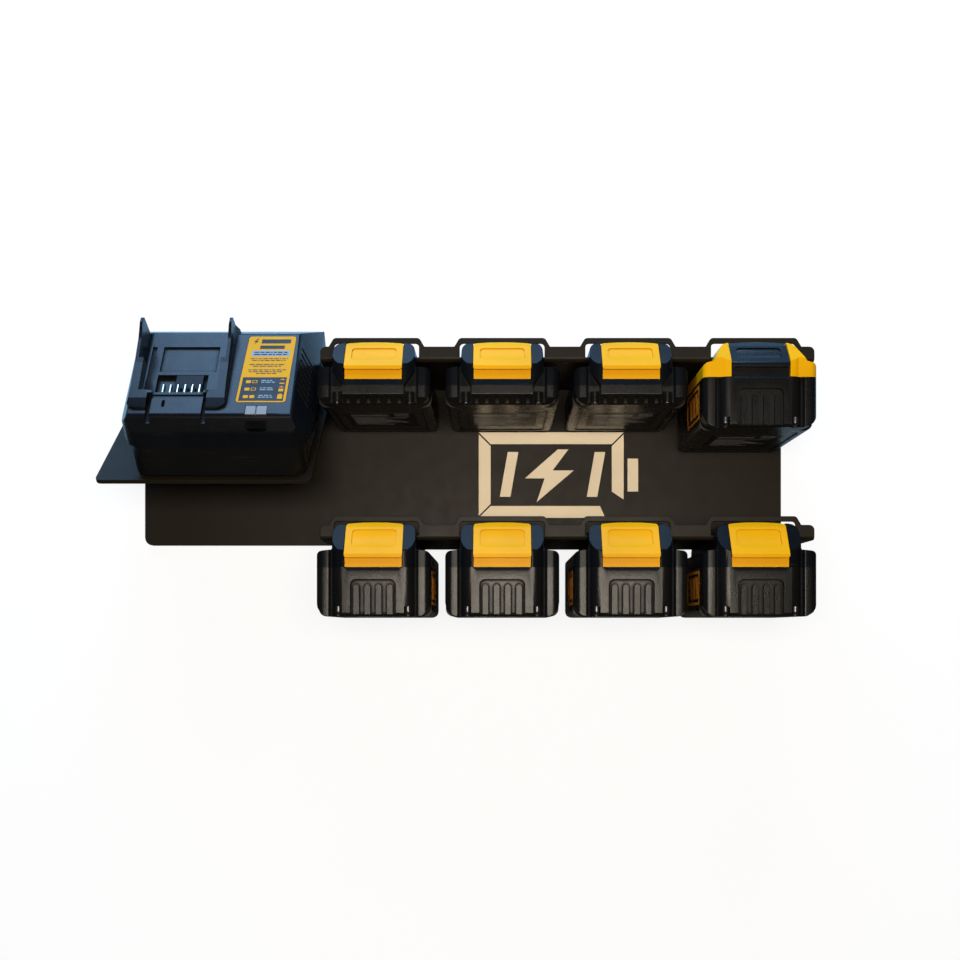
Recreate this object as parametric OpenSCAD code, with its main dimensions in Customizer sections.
// Wall-hung charging station: a folded steel rack with a sloping charger tray, two rails
// of battery bays and eight slide-in battery packs. Millimetres, +Z up, the front faces -Y,
// the origin lies on the wall face at the middle of the back panel.

/* [Back panel] */
// Width of the back panel
panel_w = 483; // [470:1:540]
// Height of the back panel between the two rails
panel_h = 118; // [112:1:140]
// Thickness of the sheet steel
sheet_t = 3; // [2.5:0.1:3.2]
// Corner radius of the back panel
panel_r = 6; // [2:1:12]
// Distance between the two wall screws
wall_pitch = 406.4; // [380:0.1:420]
// Height of the wall screws above the middle of the panel
wall_screw_z = 35; // [20:1:42]
// Radius of the wall screw holes
wall_hole_r = 2.75; // [2:0.05:3.5]

/* [Battery rails] */
// Reach of a rail from the wall to the face of its front lip
rail_reach = 99; // [96:1:104]
// Least gap between the back panel and the backs of the packs
pack_back_gap = 4; // [2:0.5:12]
// Gap between the charger and the left end of the rails
rail_gap = 2; // [1:0.5:20]
// Distance from one battery bay to the next
bay_pitch = 85.3; // [82:0.1:90]
// Distance from the right end of a rail to the middle of its last bay
rail_margin_right = 41.4; // [40:0.1:50]
// Distance from the left end of a rail to the middle of its first bay
rail_margin_left = 38.2; // [36:0.1:40]
// Height of the front lip between two bays
lip_h = 10.3; // [8:0.1:12]
// Height of the raised tab over each bay
tab_h = 16.2; // [15.5:0.1:18]
// Width of a raised tab at its foot
tab_w = 66; // [65:0.5:68]
// Sideways slope of a tab's flanks
tab_flank = 4; // [2:0.5:4]
// Corner radius of the lip
lip_r = 3; // [1:0.5:4]

/* [Charger tray] */
// Width of the charger tray
tray_w = 143.5; // [138:0.5:146]
// Length of the tray down its slope
tray_len = 139; // [134:1:146]
// Slope of the tray below the horizontal
tray_slope = 38; // [34:1:42]
// Inner radius of the bend between the panel and the tray
bend_r = 1; // [0.5:0.1:2]

/* [Battery packs] */
// Width of a pack
pack_w = 75.8; // [74:0.2:78]
// Length of a pack along its slide
pack_len = 114; // [113:0.5:116]
// How far a pack's head stands in front of the rail's lip
head_len = 22.6; // [21.5:0.1:26]
// Depth of a slim pack below its rail
slim_depth = 32.5; // [32.4:0.1:36]
// Depth of a tall pack below its rail
tall_depth = 52; // [51.8:0.1:56]
// Depth of the crowned pack below its rail
crowned_depth = 48; // [46.5:0.1:52]
// Wall thickness of the pack housings
pack_wall = 2.2; // [1.8:0.1:2.3]
// Width of the neck between a pack and its slide rails
neck_w = 50; // [48:0.5:51]
// Width over a pack's slide rails
rail_w = 56; // [55:0.5:57]
// Height of the top of a pack's slide rails above the underside of the rack
rail_top = 9; // [8.5:0.1:9.2]
// Height of a pack's crown above the underside of the rack
crown_h = 11; // [10.6:0.1:12]
// Sliding clearance between a pack and the rack, on each side
slide_gap = 0.6; // [0.4:0.1:0.8]
// Depth of the grip recess in the front of a pack
grip_depth = 2; // [1:0.1:2.5]
// Height of the skirt under a release button's pad
skirt_h = 5.8; // [5:0.1:6.5]

/* [Release buttons] */
// Width of a release button
button_w = 38.3; // [34:0.1:39]
// Travel of a release button
button_travel = 3.2; // [2.5:0.1:3.4]
// Running clearance round a release button
button_gap = 0.35; // [0.25:0.05:0.5]
// Width of the latch tooth behind a button
tooth_w = 16; // [10:0.5:20]
// Outer radius of the spring under a button
spring_r = 4; // [3:0.1:4.2]
// Turns of the spring under a button
spring_turns = 4; // [3:1:5]

/* [Cells] */
// Diameter of a cell
cell_d = 18.3; // [18:0.1:18.5]
// Length of a cell
cell_l = 65; // [64:0.1:65.5]
// Thickness of the cell holder's end plates
holder_t = 1.5; // [1:0.1:1.6]
// Thickness of the pack's circuit board
board_t = 1.6; // [1.2:0.1:1.6]

/* [Charger] */
// Width of the charger
charger_w = 124; // [120:1:126]
// Distance from the left edge of the tray to the charger
charger_side = 21.5; // [18:0.5:22]
// Distance down the tray to the charger's back
charger_back = 14; // [12:1:18]
// Length of the charger's base down the tray
charger_len = 124; // [116:1:126]
// Height of the charger's front
charger_front_h = 45; // [43:1:48]
// Rise of the charger's top from front to back, in degrees
top_rise = 20; // [18:1:22]
// Height of the parting line between base and cover
charger_split = 23; // [19:0.5:25]
// Wall thickness of the charger
charger_wall = 2.5; // [2:0.1:3]
// Width over the walls of the battery dock
dock_w = 62; // [61:0.5:66]
// Length of the battery dock
dock_len = 76; // [72:1:78]
// Depth of the dock's channel
dock_depth = 9.6; // [9.4:0.1:11]
// Number of contact blades in the dock
blade_count = 6; // [4:1:6]
// Distance from one contact blade to the next
blade_pitch = 4.8; // [4.4:0.1:5.2]
// Thickness of a contact blade
blade_t = 0.9; // [0.6:0.1:1.2]

/* [Hidden] */
$fn = 48;
arc_steps = 4;
eps = 0.01;
big = 400;

// The station's layout
slim = 0;
tall = 1;
crowned = 2;
rows = ["upper", "lower"];
layout = [[slim, slim, slim, crowned], [tall, tall, tall, tall]];
bays = len(layout[0]);
last_bay_x = panel_w / 2 - rail_margin_right;
first_bay_x = last_bay_x - (bays - 1) * bay_pitch;
rail_left = first_bay_x - rail_margin_left;
rail_right = last_bay_x + rail_margin_right;
lip_gap = 0.4;
pack_front = -max(rail_reach + lip_gap + head_len, sheet_t + pack_back_gap + pack_len);
head_back = -pack_front - rail_reach - lip_gap;
rail_under = [panel_h / 2, -panel_h / 2 - sheet_t];
slot_w = neck_w + 2 * slide_gap;
hump_back = pack_len - 4;
slot_end = pack_front + hump_back + 1;

// Levels of a pack, measured from the underside of the rack it hangs under
groove_low = -0.6;
depth_of = [slim_depth, tall_depth, crowned_depth];
split_of = [-20.4, -19.6, -14.8];
knee_of = [-6.5, -8.5, -4];
shoulder_of = [-7.8, -7.8, -4.2];
shoulder_edge_of = [-9, -9, -5.8];
crown_foot_of = [27.6, 27.8, 30.8];
crown_head_of = [26.8, 27, 23.5];
crown_r_of = [8, 7, 9];
foot_of = [-16.2, -19.4, -14.6];
sill_low_of = [-20.4, -22.2, -17.2];
nose = 16;
cell_rows_of = [1, 2, 2];
cell_columns = 5;
cell_pitch = cell_d + 0.4;
front_wall = 7;
bay_start = pack_len - pack_wall - 0.2 - cell_columns * cell_pitch - 0.6;
well_floor = -13;
button_floor = -3;
spring_y = 13.6;
well_back = head_len - 2.3;
tooth_front = head_back + 3 + sheet_t + 1.4;
tooth_len = 6;
tooth_top = 11.9;
arm_z = 3.2;
arm_t = 2.4;

// Levels of the tray and the charger
bend_y = -sheet_t - bend_r;
tray_top_y = bend_y - (bend_r + sheet_t) * sin(tray_slope);
tray_top_z = panel_h / 2 + (bend_r + sheet_t) * cos(tray_slope);
charger_x = rail_left - rail_gap - charger_w / 2;
tray_left = charger_x - charger_w / 2 - charger_side;
charger_front = -charger_back - charger_len;
dock_side = 6.8;
dock_x = -charger_w / 2 + dock_side + dock_w / 2;
dock_y = charger_front + 7;
dock_channel_w = rail_w + 2 * slide_gap + 0.4;
deck_len = 72;
deck_back = dock_y + deck_len * cos(top_rise);
deck_back_z = charger_front_h + deck_len * sin(top_rise);
charger_screw_pitch = 70;
charger_screw_y = charger_front + charger_len / 2;
main_board_z = 9;
core_w = 34;
core_l = 28;
core_h = 26;
core_x = dock_x + dock_w / 2 + 2.5 + core_w / 2;
core_y = charger_front + charger_len / 2 + 3;

pack_pieces = ["top_housing", "bottom_housing", "button", "spring", "cells", "terminals"];
function pack_node(row, bay, piece) = str(rows[row], bay + 1, "_", piece);

// ---- Outlines ----

function unit(v) = v / norm(v);
function flat(p) = [p.x, p.y];

// The points of one corner at b between a and c, rounded to radius b.z where the sides allow it
function corner(a, b, c) =
    let (u = unit(flat(a) - flat(b)), w = unit(flat(c) - flat(b)),
         half = acos(max(-1, min(1, u * w))) / 2)
    (b.z <= 0 || half > 89 || half < 1) ? [flat(b)] :
    let (room = 0.49 * min(norm(flat(a) - flat(b)), norm(flat(c) - flat(b))),
         t = min(b.z / tan(half), room), r = t * tan(half),
         centre = flat(b) + unit(u + w) * r / sin(half),
         from = (flat(b) + u * t - centre) / r, to = (flat(b) + w * t - centre) / r,
         turn = 180 - 2 * half)
    [for (k = [0 : arc_steps]) let (s = k / arc_steps)
        centre + r * (sin((1 - s) * turn) * from + sin(s * turn) * to) / sin(turn)];

// A closed outline from points [x, y, corner radius]
function rounded(p) =
    [for (i = [0 : len(p) - 1])
        each corner(p[(i + len(p) - 1) % len(p)], p[i], p[(i + 1) % len(p)])];

// A symmetric outline from the points of its right half
function both_sides(p) = concat(p, [for (i = [len(p) - 1 : -1 : 0]) [-p[i].x, p[i].y, p[i].z]]);

function rectangle(x0, y0, x1, y1, r = 0) = [[x0, y0, r], [x1, y0, r], [x1, y1, r], [x0, y1, r]];

module outline(p) polygon(rounded(p));
module along_x(x0, x1) translate([x0, 0, 0]) rotate([90, 0, 90]) linear_extrude(x1 - x0) children();
module along_y(y0, y1) translate([0, y1, 0]) rotate([90, 0, 0]) linear_extrude(y1 - y0) children();
module along_z(z0, z1) translate([0, 0, z0]) linear_extrude(z1 - z0) children();
module block(x0, x1, y0, y1, z0, z1) translate([x0, y0, z0]) cube([x1 - x0, y1 - y0, z1 - z0]);

// ---- Sheet steel ----

module steel() color([0.16, 0.14, 0.12]) children();

module back_panel() steel() difference() {
    along_y(-sheet_t, 0)
        outline([[-panel_w / 2, -panel_h / 2, panel_r], [panel_w / 2, -panel_h / 2, 0],
                 [panel_w / 2, panel_h / 2, 0], [-panel_w / 2, panel_h / 2, 0]]);
    for (side = [-1, 1]) translate([side * wall_pitch / 2, 1, wall_screw_z])
        rotate([90, 0, 0]) cylinder(r = wall_hole_r, h = sheet_t + 2);
}

// The arch in the lip that a pack's slide rails and latch tooth pass through
module arch() outline(both_sides([
    [0, tooth_top + 0.7, 0], [rail_w / 2 + slide_gap + 0.2, tooth_top + 0.7, 2.5],
    [rail_w / 2 + slide_gap + 0.2, sheet_t, 0], [slot_w / 2, sheet_t, 0], [slot_w / 2, -1, 0], [0, -1, 0]]));

// The lip's front view: low between the bays, a tab with slanting flanks over each bay
module lip_outline() {
    outline([[rail_left, sheet_t, 0], [rail_right, sheet_t, 0], [rail_right, lip_h, 5.5],
             [rail_left, lip_h, 5.5]]);
    for (bay = [0 : bays - 1]) translate([first_bay_x + bay * bay_pitch, 0])
        outline(both_sides([[0, tab_h, 0], [tab_w / 2 - tab_flank, tab_h, lip_r],
                            [tab_w / 2, lip_h - 1, lip_r], [tab_w / 2 + 0.5, sheet_t, 0], [0, sheet_t, 0]]));
}

// One rail, with its underside at z = 0: shelf with a slot in each bay, bend and arched lip
module rail() {
    bend_out = sheet_t;
    difference() {
        union() {
            block(rail_left, rail_right, -rail_reach + bend_out, 0, 0, sheet_t);
            along_y(-rail_reach, -rail_reach + sheet_t) lip_outline();
            intersection() {
                translate([rail_left, -rail_reach + bend_out, sheet_t]) rotate([0, 90, 0])
                    cylinder(r = sheet_t, h = rail_right - rail_left);
                block(rail_left, rail_right, -rail_reach - 1, -rail_reach + bend_out, -1, sheet_t);
            }
        }
        for (bay = [0 : bays - 1]) translate([first_bay_x + bay * bay_pitch, 0, 0]) {
            along_y(-rail_reach - 1, -rail_reach + sheet_t + 1) arch();
            along_z(-1, sheet_t + 1)
                outline(rectangle(-slot_w / 2, -rail_reach - 8, slot_w / 2, slot_end, 2));
        }
    }
}

module upper_rail() steel() translate([0, 0, rail_under[0]]) rail();
module lower_rail() steel() translate([0, 0, rail_under[1]]) rail();

// The charger stands in a frame on the tray: +Y runs up the slope, z = 0 is the tray's top face
module on_tray() translate([0, tray_top_y, tray_top_z]) rotate([tray_slope, 0, 0]) children();
module at_charger() on_tray() translate([charger_x, 0, 0]) children();

// Side view of the tray: the bend that leaves the panel's top edge, then the straight slope
function tray_profile() =
    let (end = 90 + tray_slope, steps = 10, reach = tray_len * [-cos(tray_slope), -sin(tray_slope)],
         middle = [bend_y, panel_h / 2], out = bend_r + sheet_t)
    concat([for (k = [0 : steps]) middle + out * [cos(end * k / steps), sin(end * k / steps)]],
           [middle + out * [cos(end), sin(end)] + reach, middle + bend_r * [cos(end), sin(end)] + reach],
           [for (k = [steps : -1 : 0]) middle + bend_r * [cos(end * k / steps), sin(end * k / steps)]]);

module charger_tray() steel() difference() {
    intersection() {
        along_x(tray_left, tray_left + tray_w) polygon(tray_profile());
        on_tray() along_z(-big, big)
            outline([[tray_left, big, 0], [tray_left, -tray_len, 4],
                     [tray_left + tray_w, -tray_len, 4], [tray_left + tray_w, big, 0]]);
    }
    charger_bolts() translate([0, 0, -sheet_t - 1]) cylinder(r = 2.25, h = sheet_t + 2);
}

module charger_bolts() at_charger()
    for (side = [-1, 1]) translate([side * charger_screw_pitch / 2, charger_screw_y, 0]) children();

module charger_screws() color([0.55, 0.55, 0.57]) charger_bolts() {
    translate([0, 0, -sheet_t - 5.2]) cylinder(r = 2, h = sheet_t + 5.2 + charger_wall + eps);
    translate([0, 0, charger_wall]) cylinder(r = 3.8, h = 2.4);
    translate([0, 0, -sheet_t - 3.2]) cylinder(r = 4, h = 3.2, $fn = 6);
}

// ---- Battery packs ----
// Each pack is drawn with its front at y = 0, its middle at x = 0 and the underside of the
// rack at z = 0.

module hang(row, bay) translate([first_bay_x + bay * bay_pitch, pack_front, rail_under[row]]) children();

// Front view of a pack: arched crown, sloping shoulders and body with rounded lower corners
module head_outline(kind, low_r) outline(both_sides([
    [0, crown_h + 0.6, 0], [8, crown_h + 0.4, 0], [16, crown_h - 0.3, 0],
    [crown_head_of[kind], crown_h - 1.3, crown_r_of[kind]],
    [crown_foot_of[kind], shoulder_of[kind], 1.5], [pack_w / 2, shoulder_edge_of[kind], 4],
    [pack_w / 2, -depth_of[kind], low_r], [0, -depth_of[kind], 0]]));

// Side view: upright front, sloping button deck, crown, hump and body. A slim front is
// chamfered below.
module side_outline(kind) outline(concat(
    kind == slim ? [[0, -depth_of[kind] + 6, 1], [6.5, -depth_of[kind], 1]] : [[0, -depth_of[kind], 2.5]],
    [[pack_len, -depth_of[kind], 5], [pack_len, groove_low, 3], [hump_back, groove_low, 0],
     [hump_back, crown_h + 1, 2], [13.6, crown_h + 0.8, 7], [0, knee_of[kind], 3]]));

// Plan: a middle block with round corners, and side columns set back beyond a groove
module plan_outline(kind, groove) union() {
    outline(both_sides([[0, 0, 0], [27.9, 0, 7.5], [27.9, pack_len - 1, 0], [0, pack_len - 1, 0]]));
    outline(both_sides([[0, groove, 0], [28.6, groove, 0], [28.6, 1.8, groove > 2 ? 1.5 : 0],
                        [pack_w / 2, 1.8, 7], [pack_w / 2, pack_len, 6], [0, pack_len, 0]]));
}

module pack_solid(kind, groove = 5) difference() {
    intersection() {
        union() {
            along_y(-1, nose) head_outline(kind, 9.5);
            along_y(nose, pack_len + 1) head_outline(kind, 5);
        }
        along_x(-pack_w, pack_w) side_outline(kind);
        along_z(-big, big) plan_outline(kind, groove);
    }
    // The grooves that take the edges of a bay's slot, and the lower roof behind the crown
    for (side = [0, 1]) mirror([side, 0, 0]) {
        block(neck_w / 2, pack_w, head_back, pack_len + 1, groove_low, sheet_t);
        block(rail_w / 2, pack_w, head_back, pack_len + 1, groove_low, crown_h + 3);
    }
    block(-pack_w, pack_w, head_back, pack_len + 1, rail_top, crown_h + 3);
    // A slim front narrows downwards between its side columns
    if (kind == slim) for (side = [0, 1]) mirror([side, 0, 0]) along_y(-1, 5)
        outline([[27.2, -10.5, 0], [20.2, -20.6, 0], [20.2, -big, 0], [28.6, -big, 0], [28.6, -10.5, 0]]);
}

function roof_half(kind) = crown_foot_of[kind] - pack_wall;

// Room inside the two housings for the cells, the board, the latch arm and the terminals
module pack_cavity(kind) {
    half = pack_w / 2 - pack_wall;
    floor_z = pack_wall - depth_of[kind];
    ceiling = groove_low - pack_wall;
    // The roof is lower at the shoulders than between the slide rails
    shoulder_z = shoulder_edge_of[kind] - pack_wall;
    along_z(floor_z, cells_top(kind) + 0.1)
        outline(rectangle(-half, bay_start - 0.4, half, pack_len - pack_wall, 3));
    along_z(floor_z, shoulder_z)
        outline(rectangle(-half, head_back + pack_wall, half, pack_len - pack_wall, 3));
    along_z(shoulder_z - 1, ceiling)
        outline(rectangle(-roof_half(kind), head_back + pack_wall, roof_half(kind), pack_len - pack_wall, 3));
    block(-half + 8, half - 8, front_wall, pack_len / 2, floor_z, split_of[kind] + eps);
    block(-neck_w / 2 + pack_wall, neck_w / 2 - pack_wall, well_back - eps, hump_back - pack_wall,
          ceiling - eps, rail_top - pack_wall);
}

// Room for a button and its travel: the well, the open front above the sill, and the slot
// behind the sill that its skirt sinks into
module button_space(kind) {
    half = button_w / 2 + button_gap;
    foot = foot_of[kind];
    block(-half, half, -1, well_back, well_floor, crown_h + 3);
    block(-half, half, -1, 4.9, foot - 0.2, well_floor + eps);
    block(-half, half, 1.25, 4.9, foot - button_travel - 0.3, foot);
    intersection() {
        along_x(-half, half) polygon([[-1, sill_low_of[kind]], [0, sill_low_of[kind]], [1.25, foot - 0.2],
                                      [1.25, foot + 1], [-1, foot + 1]]);
        along_y(-2, 2) polygon([[-half, foot + 2], [half, foot + 2], [half, foot - 0.2],
                                [half - 2.5, sill_low_of[kind]], [2.5 - half, sill_low_of[kind]], [-half, foot - 0.2]]);
    }
}

module tooth_window()
    block(-tooth_w / 2 - button_gap, tooth_w / 2 + button_gap, tooth_front - button_gap,
          tooth_front + tooth_len + button_gap, arm_z, rail_top + 1);

function blade_x(i) = (i - (blade_count - 1) / 2) * blade_pitch;

module terminal_slots(slot, depth, z0)
    for (i = [0 : blade_count - 1])
        block(blade_x(i) - slot / 2, blade_x(i) + slot / 2, hump_back - depth, hump_back + 1, z0, rail_top + 1);

module shell_color(kind, part) color(
    kind == crowned && part == 0 ? [0.95, 0.70, 0.08] : [0.10, 0.10, 0.11]) children();

module top_housing(kind) shell_color(kind, 0) difference() {
    intersection() {
        pack_solid(kind, kind == crowned ? 1.8 : 5);
        block(-big, big, -big, big, split_of[kind], big);
    }
    pack_cavity(kind);
    button_space(kind);
    tooth_window();
    terminal_slots(blade_t + 1.4, 19, 0);
}

// Four upright grip ribs in the recess of a tall front
module grip(kind) {
    top = split_of[kind] - 7.8;
    low = -depth_of[kind] + 1.2;
    difference() {
        along_y(-1, grip_depth) outline([[-15.2, low, 0], [15.2, low, 0], [15.2, top, 4], [-15.2, top, 4]]);
        for (i = [-1.5, -0.5, 0.5, 1.5]) translate([i * 7.4, 0, 0]) {
            along_y(0.3, grip_depth + 1) union() {
                translate([-1.8, low - 1]) square([3.6, top - low - 4.4]);
                translate([0, top - 5.4]) circle(r = 1.8);
            }
        }
    }
}

// Short teeth along the chamfered front edge of a slim pack
module teeth(kind) for (i = [-2.5 : 2.5])
    block(i * 6.8 - 1.2, i * 6.8 + 1.2, -1, 5.4, -depth_of[kind] - 1, -depth_of[kind] + 4.6);

module bottom_housing(kind) shell_color(kind, 1) {
    difference() {
        intersection() {
            pack_solid(kind);
            block(-big, big, -big, big, -big, split_of[kind]);
        }
        pack_cavity(kind);
        button_space(kind);
        if (kind == slim) teeth(kind); else grip(kind);
        // Pockets of the housing screws at the foot of the front
        if (kind != slim) for (side = [-1, 1])
            translate([side * 23, 1.6, -depth_of[kind] - 1]) cylinder(r = 3, h = 7.5);
        // A shallow panel in the underside
        along_z(-depth_of[kind] - 1, -depth_of[kind] + 0.6)
            outline(rectangle(-31, head_back, 31, pack_len - 7, 4));
    }
    // Round bosses of the housing screws beside a slim front
    if (kind == slim) for (side = [-1, 1])
        translate([side * 24, 3.9, -depth_of[kind] + 1]) cylinder(r = 2.8, h = 7);
}

// A pressed pad with a thumb dish, a lip over the skirt, the latch arm and its tooth
module button(kind) color(kind == crowned ? [0.09, 0.09, 0.10] : [0.98, 0.72, 0.08]) {
    foot = foot_of[kind];
    low = foot + skirt_h;
    half = button_w / 2;
    difference() {
        intersection() {
            along_x(-half, half) outline([
                [-0.5, low, 0.8], [-0.5, low + 2.8, 1.2], [0.2, low + 3.8, 1], [11.4, crown_h - 3.2, 3],
                [15.5, crown_h + 0.5, 3], [well_back - button_gap, crown_h + 0.5, 0.5],
                [well_back - button_gap, button_floor, 0], [9.4, button_floor, 0],
                [4.3, low + 3.4, 0], [4.3, low, 0]]);
            along_y(-2, big) outline(both_sides([
                [0, crown_h + 0.3, 0], [8, crown_h + 0.1, 0], [16, crown_h - 0.6, 0], [half, crown_h - 1, 2.5],
                [half, low, 2], [0, low, 0]]));
        }
        thumb_dish(kind);
    }
    block(0.3 - half, half - 0.3, 1.6, 4.3, foot, low + 2);
    block(-tooth_w / 2, tooth_w / 2, well_back - button_gap - eps, tooth_front + tooth_len, arm_z, arm_z + arm_t);
    along_x(-tooth_w / 2, tooth_w / 2) polygon([
        [tooth_front, arm_z + arm_t - eps], [tooth_front, tooth_top], [tooth_front + 1.5, tooth_top],
        [tooth_front + tooth_len, rail_top - 1], [tooth_front + tooth_len, arm_z + arm_t - eps]]);
}

// A dish with upright ends and a rounded outline, deepest half way up the pad
module thumb_dish(kind) {
    low = [0.2, foot_of[kind] + skirt_h + 3.8];
    high = [11.4, crown_h - 3.2];
    length = norm(high - low);
    translate([0, low.x, low.y]) rotate([atan2(high.y - low.y, high.x - low.x), 0, 0]) intersection() {
        along_z(-3, 3) outline(rectangle(-14.8, 4.2, 14.8, length - 2, 2.5));
        translate([-16, length * 0.55, 23.7]) rotate([0, 90, 0]) cylinder(r = 25.2, h = 32, $fn = 96);
    }
}

// A coil between the floor of the well and the button: a wire of 6 sides swept up a helix
wire_r = 0.5;
module spring() color([0.75, 0.75, 0.77]) {
    low = well_floor + wire_r;
    rise = button_floor - wire_r - low;
    steps = 8 * spring_turns;
    rings = [for (k = [0 : steps]) let (a = 360 * k / 8, r = spring_r - wire_r, z = low + rise * k / steps)
        [for (s = [0 : 5]) let (d = r + wire_r * cos(60 * s)) [d * cos(a), d * sin(a), z + wire_r * sin(60 * s)]]];
    translate([0, spring_y, 0]) polyhedron(
        points = [for (ring = rings) each ring],
        faces = concat(
            [[for (s = [5 : -1 : 0]) s]], [[for (s = [0 : 5]) steps * 6 + s]],
            [for (k = [0 : steps - 1], s = [0 : 5]) let (n = (s + 1) % 6)
                each [[k * 6 + s, k * 6 + n, (k + 1) * 6 + n], [k * 6 + s, (k + 1) * 6 + n, (k + 1) * 6 + s]]]));
}

function cells_top(kind) = pack_wall - depth_of[kind] + cell_rows_of[kind] * cell_pitch + 0.2;

// Five columns of cells that lie across the pack, held by two end plates
module cells(kind) color([0.20, 0.45, 0.75]) {
    floor_z = pack_wall - depth_of[kind];
    for (row = [0 : cell_rows_of[kind] - 1], column = [0 : cell_columns - 1])
        translate([-cell_l / 2 - 0.5, bay_start + (column + 0.5) * cell_pitch + 0.2,
                   floor_z + 0.1 + (row + 0.5) * cell_pitch])
            rotate([0, 90, 0]) cylinder(d = cell_d, h = cell_l + 1);
    for (side = [0, 1]) mirror([side, 0, 0]) along_x(cell_l / 2, cell_l / 2 + holder_t)
        outline(rectangle(bay_start, floor_z, bay_start + cell_columns * cell_pitch + 0.4, cells_top(kind), 3));
}

// The circuit board on the cells with the slotted terminal block under the hump
module terminals(kind) color([0.10, 0.30, 0.16]) {
    z = cells_top(kind);
    half = roof_half(kind) - 0.4;
    block(-half, half, 45, hump_back - pack_wall - 1, z, z + board_t);
    difference() {
        block(-20, 20, hump_back - 27, hump_back - pack_wall - 0.4, z + board_t - eps, rail_top - pack_wall - 0.3);
        terminal_slots(blade_t + 0.5, 18, 0.5);
    }
}

// ---- Charger ----

// Side view of the charger on its tray: leaning front, deck, sloping back
function charger_side_view(inset = 0) = [
    [charger_front + 1 + inset, inset, 4], [charger_front + inset, 20, 8], [charger_front + 1.4 + inset, 34, 8],
    [dock_y - 1.5 * cos(top_rise) + inset, charger_front_h - 1.5 * sin(top_rise) - inset, 5],
    [deck_back - inset, deck_back_z - inset, 6], [-charger_back - 10 - inset, deck_back_z - 16 - inset, 8],
    [-charger_back - inset, 30, 10], [-charger_back - inset, inset, 3]];

function charger_plan(side, front, back, r) =
    rectangle(side - charger_w / 2, charger_front + front, charger_w / 2 - side, -charger_back - back, r);

// Section across the deck: a short shoulder on the left and a broad vented flank on the right
function deck_view(inset) = [
    [-charger_w / 2 - 1 + inset, -200, 0], [-charger_w / 2 - 1 + inset, -12, 0],
    [-charger_w / 2 + 6.5 + inset, 0.3 - inset, 4], [charger_w / 2 - 11.5 - inset, 0.3 - inset, 4],
    [charger_w / 2 + 1 - inset, -25, 0], [charger_w / 2 + 1 - inset, -200, 0]];

module at_deck() translate([0, dock_y, charger_front_h]) rotate([top_rise, 0, 0]) children();

module cover_form(inset = 0) intersection() {
    along_x(-charger_w, charger_w) outline(charger_side_view(inset));
    along_y(-big, big) outline([
        [-charger_w / 2 + 3 + inset, charger_split - 1, 0], [-charger_w / 2 + 3 + inset, charger_split, 2],
        [-charger_w / 2 + inset, charger_split + 6, 6], [-charger_w / 2 + inset, 200, 0],
        [charger_w / 2 - inset, 200, 0], [charger_w / 2 - inset, charger_split + 6, 6],
        [charger_w / 2 - 3 - inset, charger_split, 2], [charger_w / 2 - 3 - inset, charger_split - 1, 0]]);
    along_z(-1, big) outline(charger_plan(inset, inset, inset, 17 - inset));
    at_deck() along_y(-60, 200) outline(deck_view(inset));
}

module base_form(inset = 0) intersection() {
    along_x(-charger_w, charger_w) outline(charger_side_view(inset));
    along_y(-big, big) outline(both_sides([
        [0, inset, 0], [charger_w / 2 - 5.5 - inset, inset, 5], [charger_w / 2 - 4 - inset, 12, 6],
        [charger_w / 2 - 4 - inset, charger_split + 1, 0], [0, charger_split + 1, 0]]));
    along_z(-1, big) outline(charger_plan(4 + inset, 0.5 + inset, 3 + inset, 14 - inset));
}

// The dock stands in a frame on the charger's sloping deck: +Y runs up the deck
module at_dock() translate([dock_x, dock_y, charger_front_h]) rotate([top_rise, 0, 0]) children();

module dock_channel() at_dock() {
    half = dock_channel_w / 2;
    // The channel under the guide rails, and its narrower mouth between them
    along_y(17.5, dock_len + 20) outline([[-half, -dock_depth, 2], [half, -dock_depth, 2],
                                          [half, -sheet_t, 0], [-half, -sheet_t, 0]]);
    block(-slot_w / 2, slot_w / 2, 17.5, dock_len + 20, -sheet_t - eps, 30);
    // Full width behind the guide rails
    block(-half, half, 44, dock_len + 20, -sheet_t - eps, 30);
    // The pit round the contacts
    block(-19.5, 14.5, 17.5, 43, -dock_depth - 3.4, -dock_depth + eps);
    // The sill between the front rims, with a groove on each side and a small oval hole
    block(-16.8, 16.8, -2, 15.5, 0, 30);
    block(-16.8, 16.8, 15.5 - eps, 18, 0.9, 30);
    for (side = [0, 1]) mirror([side, 0, 0]) block(16.6, 19.4, -9, 15.5, -4, 30);
    along_z(-3, 2) outline(rectangle(-9.9, 5.4, -7.7, 11.5, 1.1));
    // Sunk panels that leave two ribs standing in the floor
    block(-19.2, 19.2, 46, dock_len - 7, -dock_depth - 1.4, -dock_depth + eps);
    for (side = [0, 1]) mirror([side, 0, 0]) block(23.7, 27.4, 22, dock_len - 7, -dock_depth - 1.4, -dock_depth + eps);
}

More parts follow.
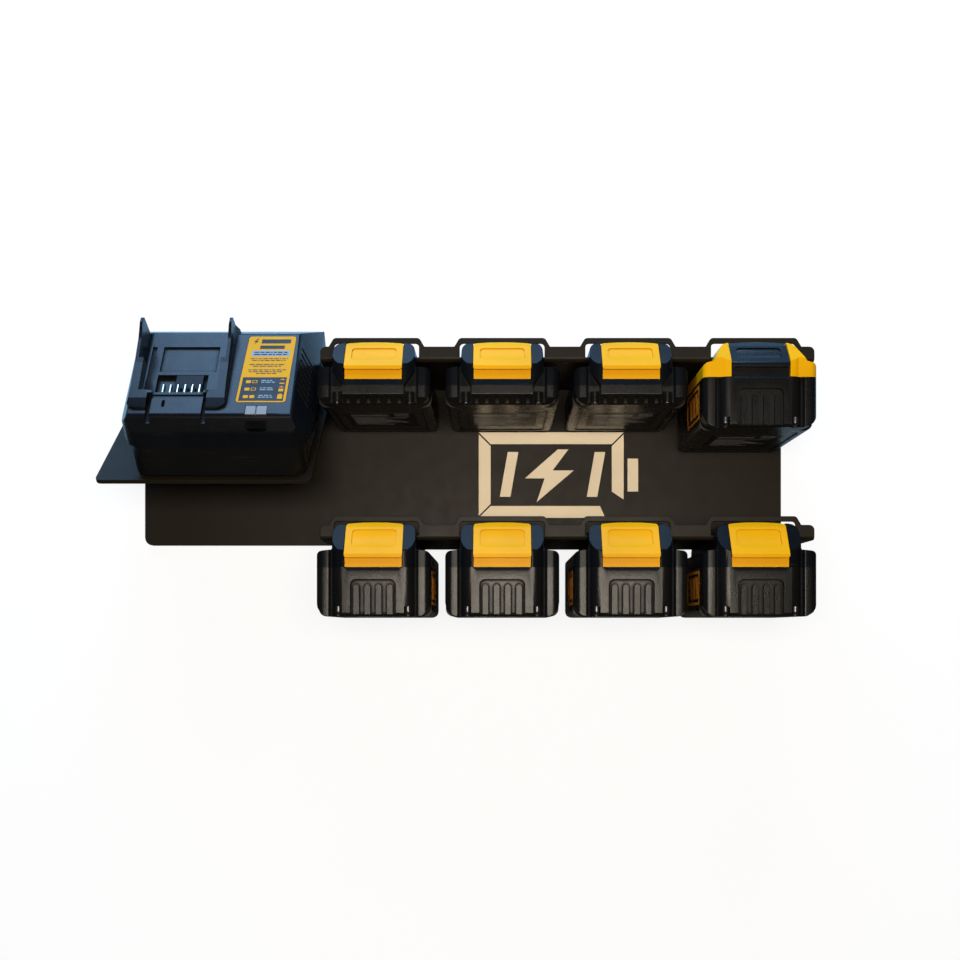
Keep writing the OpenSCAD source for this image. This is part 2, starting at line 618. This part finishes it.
// The dock's walls: low rims in front, rising to a peak at the back, hollowed towards the middle
module dock_walls() at_dock() intersection() {
    along_x(-dock_w, dock_w) outline([
        [3, -14, 0], [3, 1.4, 1.5], [11, 3, 6], [40, 5.4, 30], [60, 8.4, 20],
        [dock_len - 5, 12.4, 3], [dock_len, 11.4, 2], [dock_len + 2, -14, 0]]);
    along_y(-1, dock_len + 3) outline(both_sides([
        [0, 2.6, 0], [20, 3, 8], [26.5, 6.8, 6], [dock_w / 2 - 1.6, 12.6, 0.8], [dock_w / 2 - 0.3, 12.6, 0.8],
        [dock_w / 2, 3.5, 4], [dock_w / 2 + 2.4, -1, 2], [dock_w / 2 + 2.4, -14, 0], [0, -14, 0]]));
    along_z(-20, 20) outline([[-dock_w / 2 - 3, 3, 10], [dock_w / 2 + 3, 3, 10],
                              [dock_w / 2 + 3, dock_len + 3, 0], [-dock_w / 2 - 3, dock_len + 3, 0]]);
}

module charger_base() color([0.08, 0.08, 0.09]) at_charger() difference() {
    intersection() {
        base_form();
        block(-big, big, -big, big, -1, charger_split);
    }
    intersection() {
        base_form(charger_wall);
        block(-big, big, -big, big, charger_wall, big);
    }
    // Keyhole slots for the two screws
    for (side = [-1, 1]) translate([side * charger_screw_pitch / 2, charger_screw_y, -1]) {
        cylinder(r = 2.3, h = charger_wall + 2);
        block(-2.3, 2.3, 0, 9, 0, charger_wall + 2);
        translate([0, 9, 0]) cylinder(r = 4.4, h = charger_wall + 2);
    }
}

module charger_cover() color([0.10, 0.11, 0.13]) at_charger() difference() {
    union() {
        difference() {
            intersection() {
                cover_form();
                block(-big, big, -big, big, charger_split, big);
            }
            intersection() {
                cover_form(charger_wall);
                union() {
                    block(-big, big, -big, big, 0, charger_front_h - 16);
                    block(dock_x + dock_w / 2 + 2, big, -big, big, 0, big);
                }
            }
        }
        intersection() {
            dock_walls();
            along_z(-1, big) outline(charger_plan(0, 0, 0, 17));
        }
    }
    dock_channel();
    lens_pocket();
    louvres();
    // A scoop in the front under the status lens
    along_y(charger_front - 2, charger_front + 4.6)
        outline([[lens_x - 7, 41, 0], [lens_x + 7, 41, 0], [lens_x + 7, 34, 4], [lens_x - 7, 34, 4]]);
}

// Slanting vents in the right flank
module louvres() at_deck() for (i = [0 : 7])
    translate([0, 22 + i * 5.2, -9]) rotate([-28, 0, 0])
        block(charger_w / 2 - 13, charger_w, -1.1, 1.1, -6.5, 6.5);

lens_x = charger_w / 2 - 34;
module at_lens() at_deck() translate([lens_x, 2.9, -3.3]) children();
module lens_pocket() at_lens() block(-7.2, 7.2, -4.1, 3.7, -4, 9);
module status_lens() color([0.75, 0.73, 0.70]) at_charger() at_lens() difference() {
    block(-7, 7, -3.9, 3.5, -4, 3.5);
    block(-0.3, 0.3, -5, 4, 2.6, 4);
}

// Insulating bar and plate in the pit of the dock, and the blades that stand in the bar
module contact_block() color([0.14, 0.15, 0.17]) at_charger() at_dock() {
    pit = -dock_depth - 3.4;
    difference() {
        block(-17, 14, 17.7, 24, pit, -7.6);
        for (i = [0 : blade_count - 1]) block(blade_x(i) - blade_t / 2, blade_x(i) + blade_t / 2, 20, 25, pit + 2, 0);
    }
    difference() {
        block(-6.8, 11.3, 24 - eps, 42.8, pit, -dock_depth - 0.2);
        for (i = [0 : blade_count - 1]) block(blade_x(i) - blade_t, blade_x(i) + blade_t, 23, 31, -dock_depth - 1.4, 0);
    }
}

module contact_blades() color([0.85, 0.80, 0.65]) at_charger() at_dock()
    for (i = [0 : blade_count - 1])
        along_x(blade_x(i) - blade_t / 2, blade_x(i) + blade_t / 2)
            polygon([[20, -dock_depth - 1.4], [23.6, -dock_depth - 1.4], [23.6, -7.4], [28.6, -7.4],
                     [30, -6.6], [30, -4.6], [28, -2.8], [21, -2.8], [20, -4]]);

// The mains board on its four posts, and the wound core on it
module circuit_board() color([0.10, 0.32, 0.18]) at_charger() {
    block(-charger_w / 2 + 18, charger_w / 2 - 18, charger_front + 14, -charger_back - 14, main_board_z,
          main_board_z + board_t);
    for (x = [-1, 1], y = [charger_front + 22, -charger_back - 22])
        translate([x * (charger_w / 2 - 26), y, charger_wall]) cylinder(r = 3, h = main_board_z - charger_wall + eps);
}

module transformer() color([0.45, 0.30, 0.15]) at_charger() translate([core_x, core_y, main_board_z + board_t]) {
    difference() {
        block(-core_w / 2, core_w / 2, -core_l / 2, core_l / 2, 0, core_h);
        for (side = [-1, 1]) translate([side * core_w * 0.3, 0, 0])
            block(-3, 3, -core_l, core_l, core_h / 4, core_h * 0.77);
    }
    translate([-core_w / 2 - 12, 0, 0]) cylinder(r = 6, h = core_h * 0.6);
}

// ---- The station ----

back_panel();
upper_rail();
lower_rail();
charger_tray();
charger_screws();
charger_base();
charger_cover();
contact_block();
contact_blades();
status_lens();
circuit_board();
transformer();

for (row = [0, 1], bay = [0 : bays - 1]) {
    kind = layout[row][bay];
    hang(row, bay) top_housing(kind);
    hang(row, bay) bottom_housing(kind);
    hang(row, bay) button(kind);
    hang(row, bay) spring();
    hang(row, bay) cells(kind);
    hang(row, bay) terminals(kind);
}
